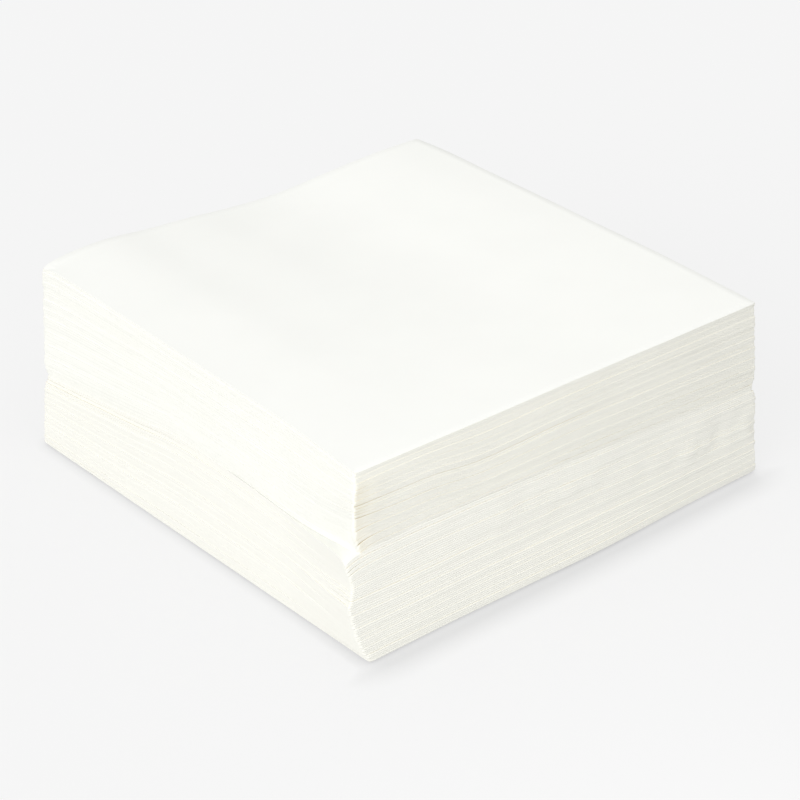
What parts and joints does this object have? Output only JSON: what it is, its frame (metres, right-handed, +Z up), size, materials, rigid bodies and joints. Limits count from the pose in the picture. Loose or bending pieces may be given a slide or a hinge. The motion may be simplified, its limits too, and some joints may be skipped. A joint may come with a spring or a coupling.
{
  "type": "stack of paper napkins",
  "caption": "Loose stack of white quarter-folded paper napkins in two bundles turned half round to each other, lying flat as for serving.",
  "frame": {"origin": "centre of the stack's box in plan, on the surface that it lies on", "axes": "+Z up through the sheets; the near corner in the picture is at -X -Y, the side seen on the right faces -Y and the side seen on the left faces -X"},
  "size_m": [0.1734, 0.168, 0.0671],
  "materials": {
    "lower_tissue": "soft matt white tissue paper, faintly warm in the gaps between the sheets",
    "upper_tissue": "soft matt white tissue paper with a fine fibre grain"
  },
  "bodies": {
    "root": {"lower_napkin_01": "lower_tissue", "lower_napkin_02": "lower_tissue", "lower_napkin_03": "lower_tissue", "lower_napkin_04": "lower_tissue", "lower_napkin_05": "lower_tissue", "lower_napkin_06": "lower_tissue", "lower_napkin_07": "lower_tissue", "lower_napkin_08": "lower_tissue", "lower_napkin_09": "lower_tissue", "lower_napkin_10": "lower_tissue", "lower_napkin_11": "lower_tissue", "lower_napkin_12": "lower_tissue", "lower_napkin_13": "lower_tissue", "lower_napkin_14": "lower_tissue", "lower_napkin_15": "lower_tissue", "lower_napkin_16": "lower_tissue", "lower_napkin_17": "lower_tissue", "lower_napkin_18": "lower_tissue", "lower_napkin_19": "lower_tissue", "lower_napkin_20": "lower_tissue", "lower_napkin_21": "lower_tissue", "lower_napkin_22": "lower_tissue", "lower_napkin_23": "lower_tissue", "lower_napkin_24": "lower_tissue", "lower_napkin_25": "lower_tissue", "upper_napkin_01": "upper_tissue", "upper_napkin_02": "upper_tissue", "upper_napkin_03": "upper_tissue", "upper_napkin_04": "upper_tissue", "upper_napkin_05": "upper_tissue", "upper_napkin_06": "upper_tissue", "upper_napkin_07": "upper_tissue", "upper_napkin_08": "upper_tissue", "upper_napkin_09": "upper_tissue", "upper_napkin_10": "upper_tissue", "upper_napkin_11": "upper_tissue", "upper_napkin_12": "upper_tissue", "upper_napkin_13": "upper_tissue", "upper_napkin_14": "upper_tissue", "upper_napkin_15": "upper_tissue", "upper_napkin_16": "upper_tissue", "upper_napkin_17": "upper_tissue", "upper_napkin_18": "upper_tissue", "upper_napkin_19": "upper_tissue", "upper_napkin_20": "upper_tissue", "upper_napkin_21": "upper_tissue", "upper_napkin_22": "upper_tissue", "upper_napkin_23": "upper_tissue", "upper_napkin_24": "upper_tissue", "upper_napkin_25": "upper_tissue"}
  },
  "joints": []
}
